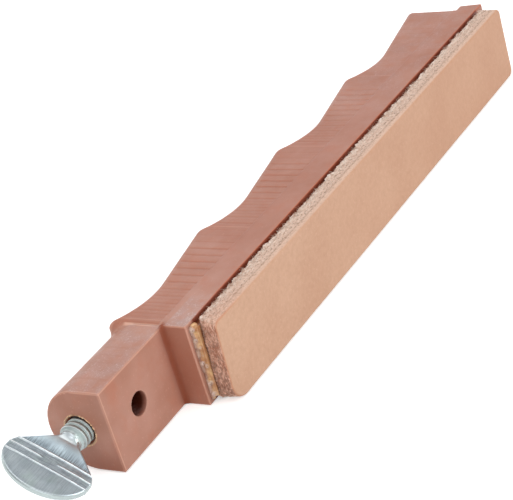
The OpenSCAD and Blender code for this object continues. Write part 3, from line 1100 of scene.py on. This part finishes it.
leather_material = leather()
zinc_material = zinc()
dress(build_holder(), plastic(), "strop_body", "moulded_plastic", "holder")
dress(build_glue(), glue(), "strop_body", "adhesive", "adhesive_layer")
dress(build_leather(), leather_material, "strop_body", "leather", "leather_pad")
dress(build_fibres(), fibre(), "strop_body", "leather")
dress(build_screw(), zinc_material, "screw_turn_body", "zinc_plated_steel", "thumb_screw")
dress(build_screw_point(), zinc_material, "screw_travel_body", "zinc_plated_steel", "thumb_screw_tip")

# -------- stage

FLOOR_GAP = 0.03


def add_floor():
    """A wide pale floor that the strop lies on, darker to diffuse light than to the camera."""
    size, cuts = 3.0, 12
    steps = np.linspace(-size, size, cuts + 1) / MM
    gx, gy = np.meshgrid(steps, steps, indexing="ij")
    points = np.stack([gx.ravel(), gy.ravel(), np.full(gx.size, -HALF - FLOOR_GAP)], 1)
    corner = (np.arange(cuts)[:, None] * (cuts + 1) + np.arange(cuts)).ravel()
    quads = np.stack([corner, corner + cuts + 1, corner + cuts + 2, corner + 1], 1)
    floor = make_object("floor", points, quads)
    s = Shader("pale_floor")
    soft = s.node("ShaderNodeLightPath").outputs["Is Diffuse Ray"]
    colour = s.mix(s.noise(0.002, 2), (0.9, 0.9, 0.9, 1), (0.93, 0.93, 0.93, 1))
    s.set(Base_Color=s.mix(soft, colour, (0.55, 0.55, 0.55, 1)), Roughness=0.9)
    s.feed(s.surface.inputs["Emission Color"], (1, 1, 1, 1))
    s.feed(s.surface.inputs["Emission Strength"], s.ramp(soft, 0.0, 1.0, 0.45, 0.1))
    floor.data.materials.append(s.material)


def add_light(name, place, target, size, power, colour=(1, 1, 1)):
    lamp = bpy.data.lights.new(name, "AREA")
    lamp.shape = "DISK"
    lamp.size = size
    lamp.energy = power
    lamp.color = colour
    thing = bpy.data.objects.new(name, lamp)
    thing.location = place
    thing.rotation_mode = "QUATERNION"
    thing.rotation_quaternion = (Vector(target) - Vector(place)).to_track_quat("-Z", "Y")
    bpy.context.scene.collection.objects.link(thing)


def add_world():
    """White to the camera, and softer to all else, dimmer beyond the far end as a studio's back is."""
    world = bpy.data.worlds.new("studio")
    bpy.context.scene.world = world
    world.use_nodes = True
    tree = world.node_tree
    background = tree.nodes["Background"]
    seen = tree.nodes.new("ShaderNodeLightPath").outputs["Is Camera Ray"]
    dot = tree.nodes.new("ShaderNodeVectorMath")
    dot.operation = "DOT_PRODUCT"
    tree.links.new(tree.nodes.new("ShaderNodeTexCoord").outputs["Generated"], dot.inputs[0])
    dot.inputs[1].default_value = Vector((0.71, -0.1, 0.7)).normalized()
    dim = tree.nodes.new("ShaderNodeMapRange")
    for socket, value in zip(dim.inputs, (0.0, 0.45, 0.98, 0.6, 0.5)):
        socket.default_value = value
    tree.links.new(dot.outputs["Value"], dim.inputs[0])
    choose = tree.nodes.new("ShaderNodeMix")
    tree.links.new(seen, choose.inputs[0])
    tree.links.new(dim.outputs[0], choose.inputs[2])
    choose.inputs[3].default_value = 1.0
    tree.links.new(choose.outputs[0], background.inputs["Strength"])
    background.inputs["Color"].default_value = (1, 1, 1, 1)


def add_camera():
    """The photograph's view: where the camera stands, which way it looks, and its roll."""
    place = Vector((-0.14638, -0.14329, 0.11793))
    heading, drop, roll = math.radians(37.24), math.radians(26.74), math.radians(-16.89)
    lens = 119.8
    reach = math.cos(drop)
    forward = Vector((math.cos(heading) * reach, math.sin(heading) * reach, -math.sin(drop)))
    level = forward.cross(Vector((0, 0, 1))).normalized()
    above = level.cross(forward)
    right = math.cos(roll) * level + math.sin(roll) * above
    up = math.cos(roll) * above - math.sin(roll) * level
    camera = bpy.data.objects.new("camera", bpy.data.cameras.new("camera"))
    camera.data.lens = lens
    camera.data.sensor_width = 36
    camera.data.clip_start = 0.005
    camera.data.clip_end = 20
    turn = Matrix((right, up, -forward)).transposed().to_4x4()
    camera.matrix_world = Matrix.Translation(place) @ turn
    bpy.context.scene.collection.objects.link(camera)
    bpy.context.scene.camera = camera


add_floor()
add_world()
TARGET = (0.03, -0.005, 0)
add_light("overhead", (-0.05, 0.02, 0.6), TARGET, 0.5, 0.58, (1.0, 0.95, 0.9))
add_light("front_left", (-0.6, -0.15, 0.3), TARGET, 0.5, 0.95)
add_light("front_right", (0.05, -0.6, 0.3), TARGET, 0.5, 1.8, (0.975, 1.0, 1.0))
add_light("back", (-0.05, 0.6, 0.3), TARGET, 0.5, 0.7, (1.0, 0.97, 0.94))
add_light("window", (0.42, 0.33, 0.28), (0, 0, 0), 0.35, 0.3, (0.86, 0.92, 1.0))
add_camera()
bpy.context.scene.view_settings.view_transform = "Standard"
